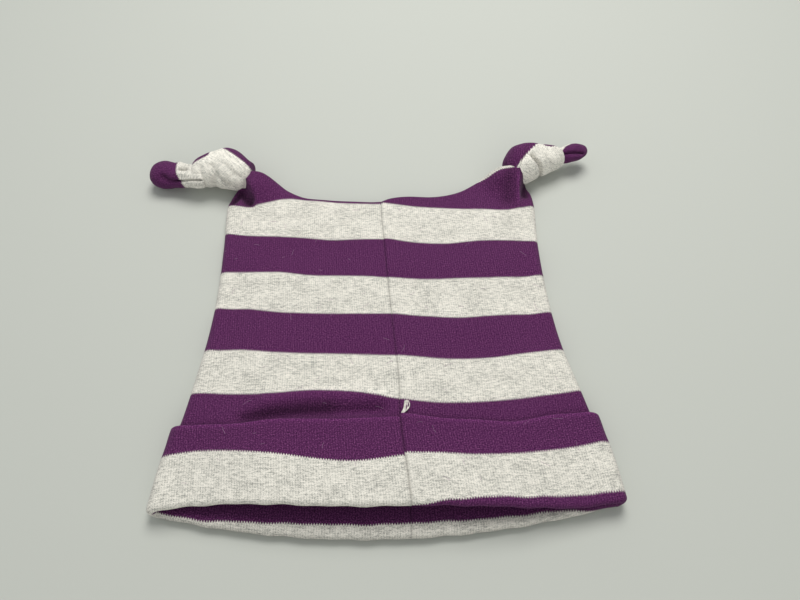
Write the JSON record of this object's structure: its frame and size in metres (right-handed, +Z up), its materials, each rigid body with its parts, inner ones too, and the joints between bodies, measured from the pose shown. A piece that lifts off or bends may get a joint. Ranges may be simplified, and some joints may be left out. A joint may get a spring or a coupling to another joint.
{
  "type": "nightcap",
  "caption": "Baby's striped jersey cap lying flat, open at the mouth, with a turned-up cuff and two top corners drawn out into knotted ears.",
  "frame": {"origin": "middle of the footprint, on the table that the cap lies on", "axes": "+Z up from the table, +Y from the mouth towards the ears, +X to the right as seen from the mouth"},
  "size_m": [0.2256, 0.1994, 0.0189],
  "materials": {
    "striped_jersey": "matt",
    "cuff_jersey": "matt",
    "knot_jersey": "matt",
    "ear_tip_jersey": "matt",
    "seam_tab_jersey": "matt"
  },
  "bodies": {
    "root": {"crown": "striped_jersey", "cuff": "cuff_jersey", "left_knot": "knot_jersey", "right_knot": "knot_jersey", "left_ear_tip": "ear_tip_jersey", "right_ear_tip": "ear_tip_jersey", "seam_tab": "seam_tab_jersey"}
  },
  "joints": []
}
